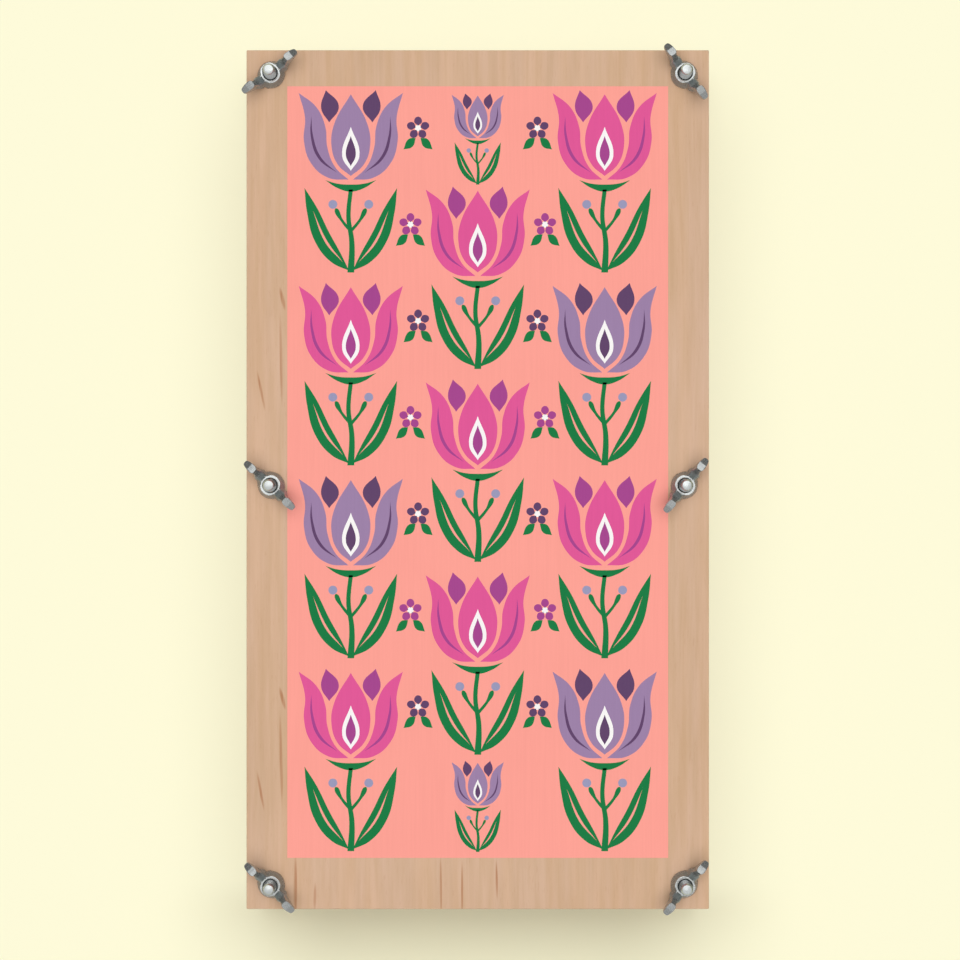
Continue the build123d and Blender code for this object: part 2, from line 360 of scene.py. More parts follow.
# %% Choose the colours and streaks of the wood
WOOD_PALE = paint(215, 178, 149)
WOOD_DEEP = paint(203, 166, 131)
WOOD_PINK = paint(208, 168, 143)
WOOD_STREAK = paint(172, 112, 70)
LONG_PLY = paint(222, 192, 152)
END_PLY = paint(176, 136, 96)
GLUE_LINE = paint(112, 78, 52)
# faint tints that multiply the face's colour
WARM_TINT = (1.012, 1.0, 0.975, 1)
COOL_TINT = (0.988, 1.0, 1.025, 1)
DARK_FIBRE = (0.985, 0.983, 0.98, 1)
LIGHT_FIBRE = (1.013, 1.013, 1.015, 1)
# place across and along the board, half length, half width and lean of each mineral streak
TOP_STREAKS = (
    (-75.1, 69.5, 5.0, 0.9, -0.21),
    (-75.6, 46.1, 20.0, 0.7, -0.02),
    (-83.3, 34.2, 8.5, 0.65, -0.2),
    (-75.1, -84.1, 5.0, 0.9, -0.25),
    (-75.6, -108.0, 20.0, 0.7, -0.02),
    (-83.5, -119.7, 8.5, 0.65, -0.18),
    (-70.1, -157.0, 15.0, 0.85, 0.0),
    (-62.6, -160.5, 6.5, 0.7, 0.02),
    (-14.2, -157.0, 14.0, 0.55, -0.01),
    (-6.0, -158.0, 13.0, 0.5, 0.0),
    (7.3, -154.0, 9.0, 0.5, -0.02),
)
BOTTOM_STREAKS = ((40.0, 60.0, 22.0, 0.6, 0.02), (-31.0, -85.0, 16.0, 0.5, -0.04))
print("mineral streaks:", len(TOP_STREAKS), "on the lid,", len(BOTTOM_STREAKS), "on the base")

# %% Colour the faces and the edges
RIPPLE_SHARE = 0.5
CLOUD_SHARE = 0.5
FLECK_SHARE = 0.12
STAIN_SHARES = (0.85, 0.5)
GLUE_STRENGTH = 0.8


def mixed_tone(tree, first, first_share, second, second_share):
    """The sum of two patterns, each by its share."""
    return calc(tree, "ADD", calc(tree, "MULTIPLY", first, first_share),
                calc(tree, "MULTIPLY", second, second_share))


def face_colour(tree, vector, lengthwise, clouds, streaks):
    """The colour of a board's face."""
    tone = mixed_tone(tree, lengthwise["Ripples"], RIPPLE_SHARE, clouds["Clouds"], CLOUD_SHARE)
    face = blend(tree, tone, WOOD_PALE, WOOD_DEEP)
    for layer, first, second in (("Bands", WARM_TINT, COOL_TINT), ("Fibres", DARK_FIBRE, LIGHT_FIBRE)):
        tint = blend(tree, lengthwise[layer], first, second)
        face = blend(tree, 1.0, face, tint, "MULTIPLY")
    face = blend(tree, calc(tree, "MULTIPLY", lengthwise["Flecks"], FLECK_SHARE), face, WOOD_STREAK)
    stain = 0.0
    for across, along, half_length, half_width, lean in streaks:
        mask = group_node(tree, streak, {
            "Vector": vector, "Across": across * MM, "Along": along * MM,
            "Half Length": half_length * MM, "Half Width": half_width * MM, "Lean": lean,
        })["Mask"]
        stain = calc(tree, "MAXIMUM", mask, stain)
    stain_share = spread(tree, lengthwise["Fibres"], 0.0, 1.0, *STAIN_SHARES)
    return blend(tree, calc(tree, "MULTIPLY", stain, stain_share), face, WOOD_STREAK)


def edge_colour(tree, spot, facing, ply, clouds):
    """The colour of a board's edge, ply by ply."""
    turned_to_x = calc(tree, "ABSOLUTE", facing["X"])
    turned_to_y = calc(tree, "ABSOLUTE", facing["Y"])
    long_side = calc(tree, "GREATER_THAN", turned_to_x, turned_to_y)
    short_side = calc(tree, "SUBTRACT", 1.0, long_side)
    # a crossed ply shows its end grain on the long sides, and the others show theirs on the short sides
    end_grain = calc(tree, "ABSOLUTE", calc(tree, "SUBTRACT", short_side, ply["Crossed"]))
    along_edge = calc(tree, "ADD", spot["X"], spot["Y"])
    turned = add(tree, "ShaderNodeCombineXYZ", {0: spot["Z"], 1: along_edge}).outputs[0]
    drawn = group_node(tree, grain, {"Vector": turned})
    long_colour = blend(tree, drawn["Fibres"], LONG_PLY, WOOD_PINK)
    end_colour = blend(tree, clouds["Specks"], END_PLY, WOOD_STREAK)
    edge = blend(tree, end_grain, long_colour, end_colour)
    return blend(tree, calc(tree, "MULTIPLY", ply["Glue"], GLUE_STRENGTH), edge, GLUE_LINE)


print("face and edge colours ready")

# %% Finish the boards
# how level a surface is where the edge's colour starts and ends turning into the face's
LEVEL_LIMITS = (0.35, 0.75)
WOOD_ROUGHNESS = (0.72, 0.58)
WOOD_GLOSS = 0.3
WOOD_RELIEF = (0.25, 0.05 * MM)
GLUE_GROOVE = 2.0


def plywood(name, node, streaks):
    """The finish of one board, with its plies counted from the board's underside."""
    low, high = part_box(node)
    material, tree, shader = new_material(name)
    coords = add(tree, "ShaderNodeTexCoord").outputs
    spot = split(tree, coords["Object"])
    facing = split(tree, coords["Normal"])
    lengthwise = group_node(tree, grain, {"Vector": coords["Object"]})
    clouds = group_node(tree, mottle, {"Vector": coords["Object"], "Coarse": 14.0, "Fine": 900.0})
    over_base = calc(tree, "SUBTRACT", spot["Z"], low.z)
    ply = group_node(tree, plies, {"Height": over_base, "Ply": (high.z - low.z) / PLY_COUNT})
    face = face_colour(tree, coords["Object"], lengthwise, clouds, streaks)
    edge = edge_colour(tree, spot, facing, ply, clouds)
    level = spread(tree, calc(tree, "ABSOLUTE", facing["Z"]), *LEVEL_LIMITS)
    tree.links.new(blend(tree, level, edge, face), shader.inputs["Base Color"])
    rough = spread(tree, lengthwise["Fibres"], 0.0, 1.0, *WOOD_ROUGHNESS)
    tree.links.new(rough, shader.inputs["Roughness"])
    groove = calc(tree, "MULTIPLY", ply["Glue"], GLUE_GROOVE)
    relief = calc(tree, "SUBTRACT", lengthwise["Fibres"], groove)
    tree.links.new(bump(tree, relief, *WOOD_RELIEF), shader.inputs["Normal"])
    shader.inputs["Specular IOR Level"].default_value = WOOD_GLOSS
    return material


def finish_node(name, material):
    """Gives a CAD node its finish."""
    node = nodes[name]
    node.data.materials.clear()
    node.data.materials.append(material)


finish_node("top_board", plywood("lid_plywood", "top_board", TOP_STREAKS))
finish_node("bottom_board", plywood("base_plywood", "bottom_board", BOTTOM_STREAKS))
print("nodes in the lid's plywood:", len(bpy.data.materials["lid_plywood"].node_tree.nodes))

# %% [markdown]
# ## Cardboard and blotting paper
# The sheets are already modelled, flutes and all, so they only need paper finishes. Kraft board is brown
# and cloudy with darker fibres. Blotting paper is soft and off-white, with a faint tooth. One function
# makes both, from the mottle group and a fibre noise.

# %% Finish the sheets
# features in a metre of two layers of fibres, drawn out along Y and along X
PAPER_FIBRES = ((2600, 500, 2600), (450, 2400, 2400))
PAPER_FIBRE_LIMITS = (0.6, 0.72)
PAPER_CLOUD_SHARE = 0.5
PAPER_ROUGHNESS = (0.82, 0.95)
PAPER_GLOSS = 0.15
TOOTH_DEPTH = 0.06 * MM


def paper(name, light, dark, fibre_share, tooth):
    """A matt paper finish of two close colours."""
    material, tree, shader = new_material(name)
    spot = add(tree, "ShaderNodeTexCoord").outputs["Object"]
    clouds = group_node(tree, mottle, {"Vector": spot, "Coarse": 60.0, "Fine": 2200.0})
    fibre = 0.0
    for stretch in PAPER_FIBRES:
        layer = spread(tree, noise(tree, spot, stretch, detail=2.0), *PAPER_FIBRE_LIMITS)
        fibre = calc(tree, "MAXIMUM", layer, fibre)
    colour = blend(tree, calc(tree, "MULTIPLY", clouds["Clouds"], PAPER_CLOUD_SHARE), light, dark)
    colour = blend(tree, calc(tree, "MULTIPLY", fibre, fibre_share), colour, dark)
    tree.links.new(colour, shader.inputs["Base Color"])
    rough = spread(tree, clouds["Specks"], 0.0, 1.0, *PAPER_ROUGHNESS)
    tree.links.new(rough, shader.inputs["Roughness"])
    tree.links.new(bump(tree, clouds["Specks"], tooth, TOOTH_DEPTH), shader.inputs["Normal"])
    shader.inputs["Specular IOR Level"].default_value = PAPER_GLOSS
    return material


kraft = paper("kraft_card", paint(188, 148, 104), paint(150, 110, 70), fibre_share=0.55, tooth=0.25)
blotting = paper("blotting_paper", paint(238, 232, 216), paint(216, 207, 186), fibre_share=0.35, tooth=0.4)
sheet_names = [name for name in nodes if name.startswith(("cardboard", "blotter"))]
for sheet_name in sheet_names:
    finish_node(sheet_name, kraft if sheet_name.startswith("cardboard") else blotting)
print("sheets finished:", len(sheet_names))

# %% [markdown]
# ## Bright zinc plate
# The bolts and nuts are plated steel. A metal has no colour of its own beyond its tint, so the work is in
# the roughness: cloudy plating, fine specks and a slight unevenness of the cast surface. The flank of a
# nut's hub is painted a dull grey that fades out towards its foot and its wings: a painted reflection,
# which stands in for what the flank mirrors there. The ring on top has a lighter tint, which paints a
# highlight on it, and is smoother than the casting.

# %% Make the metal
# a painted reflection: the duller grey painted on the flank of a nut's hub, in place of what the flank
# mirrors
PAINTED_REFLECTION_GREY = paint(122, 131, 130)
PAINTED_REFLECTION_BARENESS = 0.1
# heights, counted up from the face of the lid, between which the painted grey reflection comes in and goes
# out
PAINTED_REFLECTION_FOOT = (face_z + 0.8 * MM, face_z + 3.6 * MM)
PAINTED_REFLECTION_TOP = (face_z + 6.5 * MM, face_z + 8.5 * MM)
CLOUDED_TINT = 0.86
CASTING_DEPTH = 0.1 * MM


def zinc(name, tint, smooth, dull, unevenness, bareness, painted_reflection=False):
    """A plated metal, between two roughnesses. The less bare it is, the more its dull undercoat shows."""
    material, tree, shader = new_material(name)
    spot = add(tree, "ShaderNodeTexCoord").outputs["Object"]
    clouds = group_node(tree, mottle, {"Vector": spot, "Coarse": 260.0, "Fine": 2600.0})
    shade = [CLOUDED_TINT * channel for channel in tint[:3]] + [1]
    colour = blend(tree, clouds["Clouds"], tint, shade)
    shader.inputs["Metallic"].default_value = bareness
    # painted reflection: between two heights the flank is painted a duller, less bare grey
    if painted_reflection:
        height = split(tree, spot)["Z"]
        over_foot = spread(tree, height, *PAINTED_REFLECTION_FOOT)
        under_top = spread(tree, height, *PAINTED_REFLECTION_TOP, 1.0, 0.0)
        painted_reflection_share = calc(tree, "MULTIPLY", over_foot, under_top)
        colour = blend(tree, painted_reflection_share, colour, PAINTED_REFLECTION_GREY)
        bare_here = spread(tree, painted_reflection_share, 0.0, 1.0, bareness, PAINTED_REFLECTION_BARENESS)
        tree.links.new(bare_here, shader.inputs["Metallic"])
    tree.links.new(colour, shader.inputs["Base Color"])
    worn = calc(tree, "MULTIPLY", calc(tree, "ADD", clouds["Clouds"], clouds["Specks"]), 0.5)
    tree.links.new(spread(tree, worn, 0.0, 1.0, smooth, dull), shader.inputs["Roughness"])
    tree.links.new(bump(tree, clouds["Clouds"], unevenness, CASTING_DEPTH), shader.inputs["Normal"])
    return material


nut_metal = zinc("nut_zinc", paint(163, 166, 165), smooth=0.2, dull=0.32, unevenness=0.3, bareness=0.62,
                 painted_reflection=True)
# a lighter tint on the ring on top of each nut, which paints a highlight there; the ring is also less
# uneven
painted_highlight_ring_metal = zinc("ring_zinc_painted_highlight", paint(188, 191, 190), smooth=0.2, dull=0.3, unevenness=0.1,
                  bareness=0.7)
bolt_metal = zinc("bolt_zinc", paint(185, 189, 188), smooth=0.22, dull=0.38, unevenness=0.15, bareness=0.92)
print("metals:", [metal.name for metal in (nut_metal, painted_highlight_ring_metal, bolt_metal)])

# %% [markdown]
# ## Carriage bolts
# A carriage bolt has a domed head, a square neck that bites into the wood, and a long thread. The head is a
# profile spun round the axis. The thread is one pitch of a profile, repeated by a Screw modifier, which
# climbs as it turns. Bisect then trims both ends level and fills them. Displacing a cylinder could give a
# thread too, but the screw keeps crisp flanks with few faces.

# %% Draw a profile and spin the head
bolt_low, bolt_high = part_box("carriage_bolt_top_left")
HEAD_RADIUS = (bolt_high.x - bolt_low.x) / 2
HEAD_HEIGHT = 3.1 * MM
HEAD_RIM = 0.6 * MM
CROWN_RADIUS = 2.0 * MM
DOME_STEPS = 8
SPIN_STEPS = 48
DOUBLES_LIMIT = 0.002 * MM


def trace_profile(name, points):
    """Draws a profile in the XZ plane, by extruding one corner from point to point."""
    let_go()
    bpy.ops.mesh.primitive_plane_add(size=MM)
    piece = bpy.context.object
    piece.name = name
    edit_all()
    bpy.ops.mesh.merge(type="CENTER")
    bpy.ops.transform.translate(value=(points[0][0], 0, points[0][1]))
    for here, there in zip(points, points[1:]):
        step = (there[0] - here[0], 0, there[1] - here[1])
        bpy.ops.mesh.extrude_vertices_move(TRANSFORM_OT_translate={"value": step})
    return piece


def face_outwards():
    """Turns all faces outwards, in edit mode."""
    bpy.ops.mesh.select_all(action="SELECT")
    bpy.ops.mesh.normals_make_consistent(inside=False)


def tidy_mesh():
    """Merges doubled corners and turns all faces outwards, in edit mode."""
    bpy.ops.mesh.select_all(action="SELECT")
    bpy.ops.mesh.remove_doubles(threshold=DOUBLES_LIMIT)
    face_outwards()


# the dome is a stretch of a sphere, from the flat crown to the rim
dome_height = HEAD_HEIGHT - HEAD_RIM
sphere_run = (HEAD_RADIUS**2 - CROWN_RADIUS**2 - dome_height**2) / (2 * dome_height)
sphere_z = dome_height + sphere_run
sphere_radius = math.hypot(CROWN_RADIUS, sphere_z)
crown_angle = math.asin(CROWN_RADIUS / sphere_radius)
rim_angle = math.asin(HEAD_RADIUS / sphere_radius)
dome = []
for step in range(DOME_STEPS + 1):
    angle = crown_angle + (rim_angle - crown_angle) * step / DOME_STEPS
    dome.append((sphere_radius * math.sin(angle), sphere_z - sphere_radius * math.cos(angle)))
bolt_head = trace_profile("bolt_head", [(0, 0), *dome, (HEAD_RADIUS, HEAD_HEIGHT), (0, HEAD_HEIGHT)])
bpy.ops.mesh.select_all(action="SELECT")
bpy.ops.mesh.spin(steps=SPIN_STEPS, angle=2 * math.pi, center=(0, 0, 0), axis=(0, 0, 1))
tidy_mesh()
let_go()
print("bolt head corners:", len(bolt_head.data.vertices))

# %% Wind the thread
NECK_HEIGHT = 3.8 * MM
THREAD_RADIUS = 2.48 * MM
THREAD_DEPTH = 0.46 * MM
THREAD_PITCH = 0.8 * MM
THREAD_STEPS = 28
SPARE_TURNS = 2
TIP_DOME = 0.12 * MM

thread_low = HEAD_HEIGHT + NECK_HEIGHT / 2
thread_top = bolt_high.z - TIP_DOME
turns = math.ceil((thread_top - thread_low) / THREAD_PITCH) + SPARE_TURNS
root_radius = THREAD_RADIUS - THREAD_DEPTH
first_turn = thread_low - THREAD_PITCH
# one pitch: a flat root, a flank up, a narrow crest and a flank down, as shares of the pitch
PITCH_SHARES = ((0.0, 0), (0.14, 0), (0.48, 1), (0.62, 1), (0.96, 0), (1.0, 0))
one_pitch = [
    (root_radius + rise * THREAD_DEPTH, first_turn + share * THREAD_PITCH) for share, rise in PITCH_SHARES
]
bolt_thread = trace_profile("bolt_thread", one_pitch)
bpy.ops.object.mode_set(mode="OBJECT")
bpy.ops.object.modifier_add(type="SCREW")
screw = bolt_thread.modifiers[-1]
screw.axis = "Z"
screw.steps = THREAD_STEPS
screw.render_steps = THREAD_STEPS
screw.screw_offset = THREAD_PITCH
screw.iterations = turns
screw.use_merge_vertices = True
screw.merge_threshold = DOUBLES_LIMIT / 2
bpy.ops.object.modifier_apply(modifier=screw.name)
edit_all()
tidy_mesh()
print("thread turns:", turns)

# %% Trim the thread and round its end
CUT_LIMIT = 0.0001 * MM
TIP_RADIUS = 1.75 * MM
TIP_SLOPE = 0.75
TIP_INSET = 0.5 * MM
TIP_TOLERANCE = 0.001


def select_faces(piece, wanted):
    """Selects the faces whose middle, in mm, is wanted, in edit mode."""
    bpy.ops.mesh.select_mode(type="FACE")
    bpy.ops.mesh.select_all(action="DESELECT")
    mesh = bmesh.from_edit_mesh(piece.data)
    for face in mesh.faces:
        if wanted(face.calc_center_median() / MM):
            face.select_set(True)
    bmesh.update_edit_mesh(piece.data)


for cut_z, outward in ((thread_low, -1), (thread_top, 1)):
    bpy.ops.mesh.select_all(action="SELECT")
    bpy.ops.mesh.bisect(plane_co=(0, 0, cut_z), plane_no=(0, 0, outward), use_fill=True, clear_outer=True,
                        threshold=CUT_LIMIT)
work = bmesh.from_edit_mesh(bolt_thread.data)
for corner in work.verts:
    reach = math.hypot(corner.co.x, corner.co.y)
    limit = TIP_RADIUS + TIP_SLOPE * (thread_top - corner.co.z)
    if reach > limit:
        corner.co.x *= limit / reach
        corner.co.y *= limit / reach
bmesh.update_edit_mesh(bolt_thread.data)
select_faces(bolt_thread, lambda middle: middle.z > thread_top / MM - TIP_TOLERANCE)
bpy.ops.mesh.inset(thickness=TIP_INSET)
bpy.ops.transform.translate(value=(0, 0, TIP_DOME))
face_outwards()
let_go()
print("thread corners:", len(bolt_thread.data.vertices))

# %% Shape the neck
NECK_WIDTH = 5.4 * MM
NECK_BEVEL = 0.3 * MM

let_go()
bpy.ops.mesh.primitive_cube_add(size=1)
bolt_neck = bpy.context.object
bolt_neck.scale = (NECK_WIDTH, NECK_WIDTH, NECK_HEIGHT)
bolt_neck.location.z = HEAD_HEIGHT + NECK_HEIGHT / 2
bpy.ops.object.transform_apply(location=True, scale=True)
edit_all()
bpy.ops.mesh.bevel(offset=NECK_BEVEL, segments=3, affect="EDGES")
let_go()
print("neck in mm:", [round(side / MM, 2) for side in bolt_neck.dimensions])

# %% Join the bolt and set six of them
SMOOTH_ANGLE = 35


def join_pieces(name, pieces):
    """Joins several objects into one and names it."""
    let_go()
    for piece in pieces:
        piece.select_set(True)
    bpy.context.view_layer.objects.active = pieces[0]
    if len(pieces) > 1:
        bpy.ops.object.join()
    pieces[0].name = name
    return pieces[0]


def copy_of(pattern):
    """A copy of an object, with its own mesh, selected alone."""
    let_go()
    pattern.select_set(True)
    bpy.context.view_layer.objects.active = pattern
    bpy.ops.object.duplicate(linked=False)
    return bpy.context.object


def set_copies(pattern, kind, turn_of, body_of, materials, seat_z):
    """Copies a pattern to each bolt's axis, with its place in its mesh, instead of the CAD node there."""
    let_go()
    pattern.select_set(True)
    bpy.context.view_layer.objects.active = pattern
    bpy.ops.object.shade_smooth_by_angle(angle=math.radians(SMOOTH_ANGLE))
    for material in materials:
        pattern.data.materials.append(material)
    made = []
    for place in BOLT_PLACES:
        node = f"{kind}_{place}"
        middle = sum(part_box(node), Vector()) / 2
        copy = copy_of(pattern)
        copy.name = f"{kind}_{place}_finished"
        copy.location = (middle.x, middle.y, seat_z)
        copy.rotation_euler = (0, 0, math.radians(turn_of(place)))
        bpy.ops.object.transform_apply(location=True, rotation=True, scale=True)
        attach(copy, body_of(place))
        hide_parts(node)
        made.append(copy)
    bpy.data.objects.remove(pattern)
    return made


carriage_bolt = join_pieces("carriage_bolt_pattern", [bolt_thread, bolt_head, bolt_neck])
bolts = set_copies(carriage_bolt, "carriage_bolt", lambda place: 0, lambda place: "base", [bolt_metal], 0)
print("bolts set:", len(bolts), "corners each:", len(bolts[0].data.vertices))

# %% [markdown]
# ## Wing nuts
# A wing nut is cast, so its hub flows into its wings. Here a ring is extruded up, in over the top and down
# the bore to make the hub. On each side four faces of the hub are extruded outwards, section by section,
# into a thin neck and a thick, upswept ear. The foot of the hub is drawn out where the wings leave it, and
# their roots cut into the ring on top. A Subdivision Surface then rounds everything, and creased edges keep
# the seat and the top ring crisp. Cutting the wings from a plate would leave hard corners that no casting
# has.

# %% Helpers for edges and corners, in edit mode
SAME_SIZE = 0.02


def near(value, goal):
    """Whether two sizes in mm are the same but for rounding."""
    return abs(value - goal) < SAME_SIZE


def crease(piece, wanted, sharpness):
    """Sharpens the edges whose two ends, in mm, are wanted."""
    bpy.ops.mesh.select_mode(type="EDGE")
    bpy.ops.mesh.select_all(action="DESELECT")
    mesh = bmesh.from_edit_mesh(piece.data)
    for edge in mesh.edges:
        if all(wanted(end.co / MM) for end in edge.verts):
            edge.select_set(True)
    bmesh.update_edit_mesh(piece.data)
    bpy.ops.transform.edge_crease(value=sharpness)


def select_corners(piece, wanted):
    """Selects the corners whose place, in mm, is wanted, and gives their places."""
    bpy.ops.mesh.select_mode(type="VERT")
    bpy.ops.mesh.select_all(action="DESELECT")
    mesh = bmesh.from_edit_mesh(piece.data)
    chosen = [corner for corner in mesh.verts if wanted(corner.co / MM)]
    for corner in chosen:
        corner.select_set(True)
    places = [corner.co / MM for corner in chosen]
    bmesh.update_edit_mesh(piece.data)
    return places


print("places in mm are matched within", SAME_SIZE)

# %% Raise the hub of a wing nut
HUB_SIDES = 16
HUB_HEIGHT = 6.5
FOOT_RADIUS = 5.3
RING_RADIUS = 4.05
BORE_RADIUS = 2.75
# rings of the hub, as radius and height over the seat, from the foot up, over the top and down the bore
HUB_RINGS = ((FOOT_RADIUS, 0.0), (FOOT_RADIUS, 0.8), (5.1, 1.5), (4.45, 4.0), (RING_RADIUS, HUB_HEIGHT),
             (3.0, HUB_HEIGHT), (BORE_RADIUS, 6.2), (BORE_RADIUS, 0.0), (FOOT_RADIUS, 0.0))
CREASED_RINGS = (*HUB_RINGS[:2], *HUB_RINGS[4:8])
RING_CREASE = 0.8
# the corners of the foot that lie beyond this reach and this far beside the wings are drawn out
FLARE_REACH = 4.6
FLARE_SIDE = 1.9
ROOT_FLARE = 1.4

let_go()
bpy.ops.mesh.primitive_circle_add(vertices=HUB_SIDES, radius=FOOT_RADIUS * MM)
wing_nut = bpy.context.object
wing_nut.name = "wing_nut_pattern"
edit_all()
for (radius, rise), (new_radius, new_rise) in zip(HUB_RINGS, HUB_RINGS[1:]):
    bpy.ops.mesh.extrude_region_move(TRANSFORM_OT_translate={"value": (0, 0, (new_rise - rise) * MM)})
    growth = new_radius / radius
    bpy.ops.transform.resize(value=(growth, growth, 1), center_override=(0, 0, new_rise * MM))
tidy_mesh()


def on_ring(spot, radius, rise):
    """Whether a place in mm lies on a ring of the hub."""
    return near(math.hypot(spot.x, spot.y), radius) and near(spot.z, rise)


for radius, rise in CREASED_RINGS:
    crease(wing_nut, lambda spot: on_ring(spot, radius, rise), RING_CREASE)
select_corners(wing_nut, lambda spot: abs(spot.x) > FLARE_REACH and abs(spot.y) > FLARE_SIDE)
bpy.ops.transform.resize(value=(1, ROOT_FLARE, 1), center_override=(0, 0, 0))
print("hub corners:", len(bmesh.from_edit_mesh(wing_nut.data).verts))

# %% Draw the wings out of the hub
# sections of a wing from the hub outwards: reach, height of its lower and upper edge, thickness at its
# upper and lower edge
WING_SECTIONS = (
    (5.9, 1.2, 7.8, 4.4, 6.2),
    (6.6, 1.7, 9.0, 3.3, 5.2),
    (7.2, 2.4, 10.9, 2.3, 4.2),
    (7.7, 3.0, 13.25, 2.7, 3.5),
    (9.0, 4.4, 13.05, 3.2, 3.1),
    (10.4, 5.8, 12.7, 3.0, 2.8),
    (12.9, 8.2, 11.2, 2.3, 2.1),
)
# a wing leaves from the faces beyond this reach, near the middle and between two heights
ROOT_REACH = 3.4
ROOT_SIDE = 1.5
ROOT_LOW = 1.6
ROOT_HIGH = 6.4
ROOT_THICKNESS = 2 * RING_RADIUS * math.sin(2 * math.pi / HUB_SIDES)

for side in (1, -1):
    select_faces(wing_nut, lambda middle: side * middle.x > ROOT_REACH and abs(middle.y) < ROOT_SIDE
                 and ROOT_LOW < middle.z < ROOT_HIGH)
    old_low = HUB_RINGS[2][1]
    old_high = HUB_HEIGHT
    old_thickness = ROOT_THICKNESS
    for reach, lower, upper, thickness, foot in WING_SECTIONS:
        rise = (lower + upper - old_low - old_high) / 2
        bpy.ops.mesh.extrude_region_move(TRANSFORM_OT_translate={"value": (0, 0, rise * MM)})
        growth = (0, thickness / old_thickness, (upper - lower) / (old_high - old_low))
        section_middle = (side * reach * MM, 0, (lower + upper) / 2 * MM)
        bpy.ops.transform.resize(value=growth, center_override=section_middle)
        old_low, old_high, old_thickness = lower, upper, thickness
# each wing flares towards its lower edge
for reach, lower, upper, thickness, foot in WING_SECTIONS:
    row = select_corners(wing_nut, lambda spot: near(abs(spot.x), reach) and near(spot.z, lower))
    row_width = 2 * max(abs(spot.y) for spot in row)
    bpy.ops.transform.resize(value=(1, foot / row_width, 1), center_override=(0, 0, 0))
print("sections of a wing:", len(WING_SECTIONS))

# %% Cut the roots in, sharpen the ears and round the casting
RING_NOTCH = 0.9
EAR = WING_SECTIONS[3:]
PAD_START = WING_SECTIONS[3]
PAD_END = WING_SECTIONS[5]
EAR_CREASE = 0.6
RIM_SIDE = 0.1
ROUNDING_LEVELS = 3


def on_rim(spot):
    """Whether a place in mm lies on one of the two long upper edges of an ear."""
    on_edge = any(near(abs(spot.x), reach) and near(spot.z, upper) for reach, lower, upper, *rest in EAR)
    return on_edge and abs(spot.y) > RIM_SIDE


select_corners(wing_nut, lambda spot: on_ring(spot, RING_RADIUS, HUB_HEIGHT)
               and abs(spot.x) > 2 * abs(spot.y))
bpy.ops.transform.resize(value=(RING_NOTCH, RING_NOTCH, 1), center_override=(0, 0, 0))
for reach, lower, upper, thickness, foot in (PAD_START, PAD_END):
    crease(wing_nut, lambda spot: near(abs(spot.x), reach) and near(spot.z, upper), EAR_CREASE)
crease(wing_nut, on_rim, EAR_CREASE)
face_outwards()
let_go()
wing_nut.select_set(True)
bpy.ops.object.modifier_add(type="SUBSURF")
rounding = wing_nut.modifiers[-1]
rounding.levels = ROUNDING_LEVELS
rounding.render_levels = ROUNDING_LEVELS
bpy.ops.object.modifier_apply(modifier=rounding.name)
print("wing nut in mm:", [round(side / MM, 2) for side in wing_nut.dimensions])

# %% Set six wing nuts, each turned as its CAD node is
# the ring on top, given a lighter tint that paints a highlight, lies at most this far under the top of the
# hub, and is about level
RING_DEPTH = 0.2
RING_LEVEL = 0.9


def is_top_ring(face):
    """Whether a face belongs to the ring on top of the hub, which has the painted highlight."""
    if face.center.z < (HUB_HEIGHT - RING_DEPTH) * MM or face.normal.z < RING_LEVEL:
        return False
    return face.center.xy.length < RING_RADIUS * MM


def nut_turn(place):
    """The angle of a wing nut's wings, from the point of its CAD node that lies furthest from its axis."""
    node = nodes[f"wing_nut_{place}"]
    middle = sum(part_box(node.name), Vector()) / 2
    arms = [node.matrix_world @ vertex.co - middle for vertex in node.data.vertices]
    longest = max(arms, key=lambda arm: arm.x**2 + arm.y**2)
    return math.degrees(math.atan2(longest.y, longest.x))


nut_metals = [nut_metal, painted_highlight_ring_metal]
# the ring's faces get the lighter tint that paints their highlight
ring_faces = [face for face in wing_nut.data.polygons if is_top_ring(face)]
for face in ring_faces:
    face.material_index = nut_metals.index(painted_highlight_ring_metal)
print("faces of the turned ring:", len(ring_faces))
nuts = set_copies(wing_nut, "wing_nut", nut_turn, lambda place: f"wing_nut_{place}", nut_metals, face_z)
print("turns in degrees:", [round(nut_turn(place) % 180, 1) for place in BOLT_PLACES])
print("wing nuts set:", len(nuts), "corners each:", len(nuts[0].data.vertices))

# %% [markdown]
# ## The print
# The lid carries a print in flat inks on a salmon ground. The design here is a plain half-drop repeat of
# tulip sprigs: blooms in pink and lilac, green stems and leaves, berries and small rosettes. Each ink is a
# thin raised film with a crisp edge, as a screen print has. A shape is drawn as a closed curve through a
# few points, with sharp corners where a petal or leaf ends, then turned into a mesh and given its
# thickness. One sprig is drawn and then copied, and all the copies in one ink are joined.

# %% Mix the inks
INK_FIBRE_SHARE = 0.6
INK_CLOUD_SHARE = 0.4
# what multiplies a colour where the ink is thin and where it is full, and a trace of white in full ink
THIN_INK = 0.97
FULL_INK = 1.02
INK_WHITE = 0.002
INK_ROUGHNESS = (0.6, 0.72)
INK_GLOSS = 0.15
INK_RELIEF = (0.1, 0.03 * MM)


